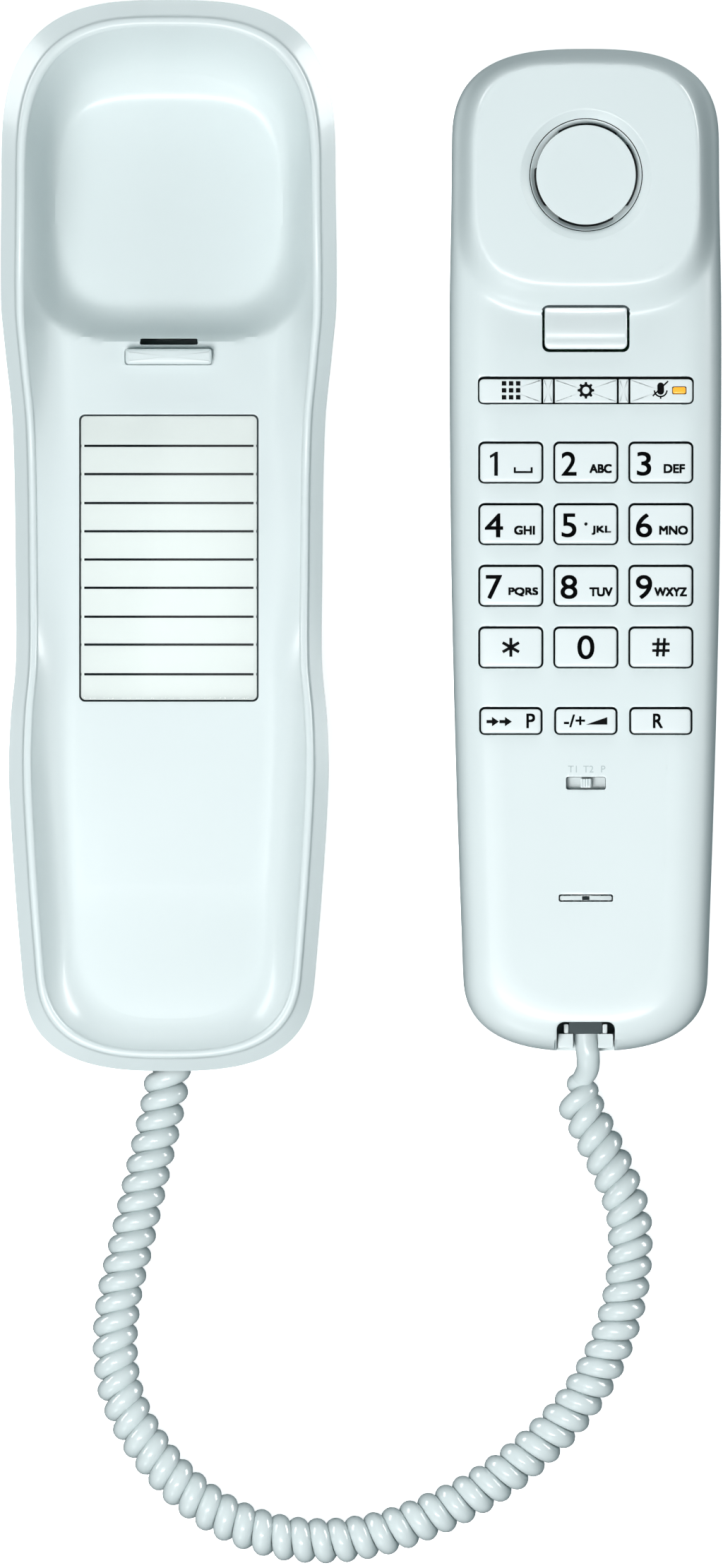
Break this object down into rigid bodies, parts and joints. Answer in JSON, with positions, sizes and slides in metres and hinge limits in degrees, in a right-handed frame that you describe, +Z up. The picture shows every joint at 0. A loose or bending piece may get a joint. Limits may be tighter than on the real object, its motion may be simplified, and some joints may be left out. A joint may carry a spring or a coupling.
{
  "type": "slimline wall phone",
  "caption": "Slimline corded wall phone lying open: trough-shaped cradle with card window and hook tab, keypad handset beside it, joined by a curly cord.",
  "frame": {"origin": "on the surface it lies on, at the centre of the box round the cradle and the handset", "axes": "+X from the cradle to the handset, +Y towards the ear end of both, +Z up, away from the wall plate"},
  "size_m": [0.1452, 0.3145, 0.0339],
  "materials": {
    "housing": "satin moulded",
    "keys": "satin moulded",
    "rubber": "matte",
    "black_plastic": "matte",
    "circuit_board": "satin",
    "steel": "plated",
    "paper": "matte",
    "clear_plastic": "polished",
    "amber": "translucent",
    "cord": "soft gloss"
  },
  "bodies": {
    "cradle": {"cradle_shell": "housing", "cradle_base": "housing", "ballast_plate": "steel", "jack_board": "circuit_board", "line_jack": "black_plastic", "cord_jack": "black_plastic", "foot_1": "rubber", "foot_2": "rubber", "foot_3": "rubber", "foot_4": "rubber", "cradle_screw_1": "steel", "cradle_screw_2": "steel", "cradle_screw_3": "steel", "cradle_screw_4": "steel", "index_card": "paper", "cradle_plug": "clear_plastic", "cradle_lead": "cord", "coil_cord": "cord"},
    "handset": {"handset_front": "housing", "handset_back": "housing", "earpiece_cap": "housing", "earpiece_ring": "housing", "receiver_capsule": "black_plastic", "main_board": "circuit_board", "keypad_mat": "rubber", "hook_switch": "black_plastic", "mode_switch": "black_plastic", "microphone": "steel", "microphone_boot": "rubber", "ringer": "black_plastic", "message_led": "amber", "handset_screw_1": "steel", "handset_screw_2": "steel", "strip_spacer_left": "housing", "strip_spacer_right": "housing", "strain_relief": "housing", "handset_plug": "clear_plastic", "handset_lead": "cord"},
    "hook_tab": {"hook_tab": "housing"},
    "card_window": {"card_window": "clear_plastic"},
    "hook_key": {"hook_key": "keys"},
    "mode_slider": {"mode_slider": "housing"},
    "key_1": {"key_1": "keys"},
    "key_2": {"key_2": "keys"},
    "key_3": {"key_3": "keys"},
    "key_4": {"key_4": "keys"},
    "key_5": {"key_5": "keys"},
    "key_6": {"key_6": "keys"},
    "key_7": {"key_7": "keys"},
    "key_8": {"key_8": "keys"},
    "key_9": {"key_9": "keys"},
    "key_star": {"key_star": "keys"},
    "key_0": {"key_0": "keys"},
    "key_hash": {"key_hash": "keys"},
    "key_redial": {"key_redial": "keys"},
    "key_volume": {"key_volume": "keys"},
    "key_recall": {"key_recall": "keys"},
    "key_menu": {"key_menu": "keys"},
    "key_settings": {"key_settings": "keys"},
    "key_mute": {"key_mute": "keys"}
  },
  "joints": [
    {"name": "handset_lift", "type": "slide", "parent": "cradle", "child": "handset", "axis": [0, 0, 1], "range_m": [0, 0.06]},
    {"name": "hook_tab_lift", "type": "slide", "parent": "cradle", "child": "hook_tab", "axis": [0, 0, 1], "range_m": [0, 0.03]},
    {"name": "card_window_lift", "type": "slide", "parent": "cradle", "child": "card_window", "axis": [0, 0, 1], "range_m": [0, 0.022]},
    {"name": "hook_key_press", "type": "hinge", "parent": "handset", "child": "hook_key", "pos_m": [0.0452, 0.0456, 0.0187], "axis": [1, 0, 0], "range_deg": [0, 7], "stiffness_Nm_per_rad": 0.03, "springref_deg": -5.73},
    {"name": "mode_slider_shift", "type": "slide", "parent": "handset", "child": "mode_slider", "axis": [1, 0, 0], "range_m": [-0.0022, 0.0022]},
    {"name": "key_1_press", "type": "slide", "parent": "handset", "child": "key_1", "axis": [0, 0, -1], "range_m": [0, 0.001], "stiffness_N_per_m": 400, "springref_m": -0.0004},
    {"name": "key_2_press", "type": "slide", "parent": "handset", "child": "key_2", "axis": [0, 0, -1], "range_m": [0, 0.001], "stiffness_N_per_m": 400, "springref_m": -0.0004},
    {"name": "key_3_press", "type": "slide", "parent": "handset", "child": "key_3", "axis": [0, 0, -1], "range_m": [0, 0.001], "stiffness_N_per_m": 400, "springref_m": -0.0004},
    {"name": "key_4_press", "type": "slide", "parent": "handset", "child": "key_4", "axis": [0, 0, -1], "range_m": [0, 0.001], "stiffness_N_per_m": 400, "springref_m": -0.0004},
    {"name": "key_5_press", "type": "slide", "parent": "handset", "child": "key_5", "axis": [0, 0, -1], "range_m": [0, 0.001], "stiffness_N_per_m": 400, "springref_m": -0.0004},
    {"name": "key_6_press", "type": "slide", "parent": "handset", "child": "key_6", "axis": [0, 0, -1], "range_m": [0, 0.001], "stiffness_N_per_m": 400, "springref_m": -0.0004},
    {"name": "key_7_press", "type": "slide", "parent": "handset", "child": "key_7", "axis": [0, 0, -1], "range_m": [0, 0.001], "stiffness_N_per_m": 400, "springref_m": -0.0004},
    {"name": "key_8_press", "type": "slide", "parent": "handset", "child": "key_8", "axis": [0, 0, -1], "range_m": [0, 0.001], "stiffness_N_per_m": 400, "springref_m": -0.0004},
    {"name": "key_9_press", "type": "slide", "parent": "handset", "child": "key_9", "axis": [0, 0, -1], "range_m": [0, 0.001], "stiffness_N_per_m": 400, "springref_m": -0.0004},
    {"name": "key_star_press", "type": "slide", "parent": "handset", "child": "key_star", "axis": [0, 0, -1], "range_m": [0, 0.001], "stiffness_N_per_m": 400, "springref_m": -0.0004},
    {"name": "key_0_press", "type": "slide", "parent": "handset", "child": "key_0", "axis": [0, 0, -1], "range_m": [0, 0.001], "stiffness_N_per_m": 400, "springref_m": -0.0004},
    {"name": "key_hash_press", "type": "slide", "parent": "handset", "child": "key_hash", "axis": [0, 0, -1], "range_m": [0, 0.001], "stiffness_N_per_m": 400, "springref_m": -0.0004},
    {"name": "key_redial_press", "type": "slide", "parent": "handset", "child": "key_redial", "axis": [0, 0, -1], "range_m": [0, 0.001], "stiffness_N_per_m": 400, "springref_m": -0.0004},
    {"name": "key_volume_press", "type": "slide", "parent": "handset", "child": "key_volume", "axis": [0, 0, -1], "range_m": [0, 0.001], "stiffness_N_per_m": 400, "springref_m": -0.0004},
    {"name": "key_recall_press", "type": "slide", "parent": "handset", "child": "key_recall", "axis": [0, 0, -1], "range_m": [0, 0.001], "stiffness_N_per_m": 400, "springref_m": -0.0004},
    {"name": "key_menu_press", "type": "slide", "parent": "handset", "child": "key_menu", "axis": [0, 0, -1], "range_m": [0, 0.001], "stiffness_N_per_m": 400, "springref_m": -0.0004},
    {"name": "key_settings_press", "type": "slide", "parent": "handset", "child": "key_settings", "axis": [0, 0, -1], "range_m": [0, 0.001], "stiffness_N_per_m": 400, "springref_m": -0.0004},
    {"name": "key_mute_press", "type": "slide", "parent": "handset", "child": "key_mute", "axis": [0, 0, -1], "range_m": [0, 0.001], "stiffness_N_per_m": 400, "springref_m": -0.0004}
  ]
}
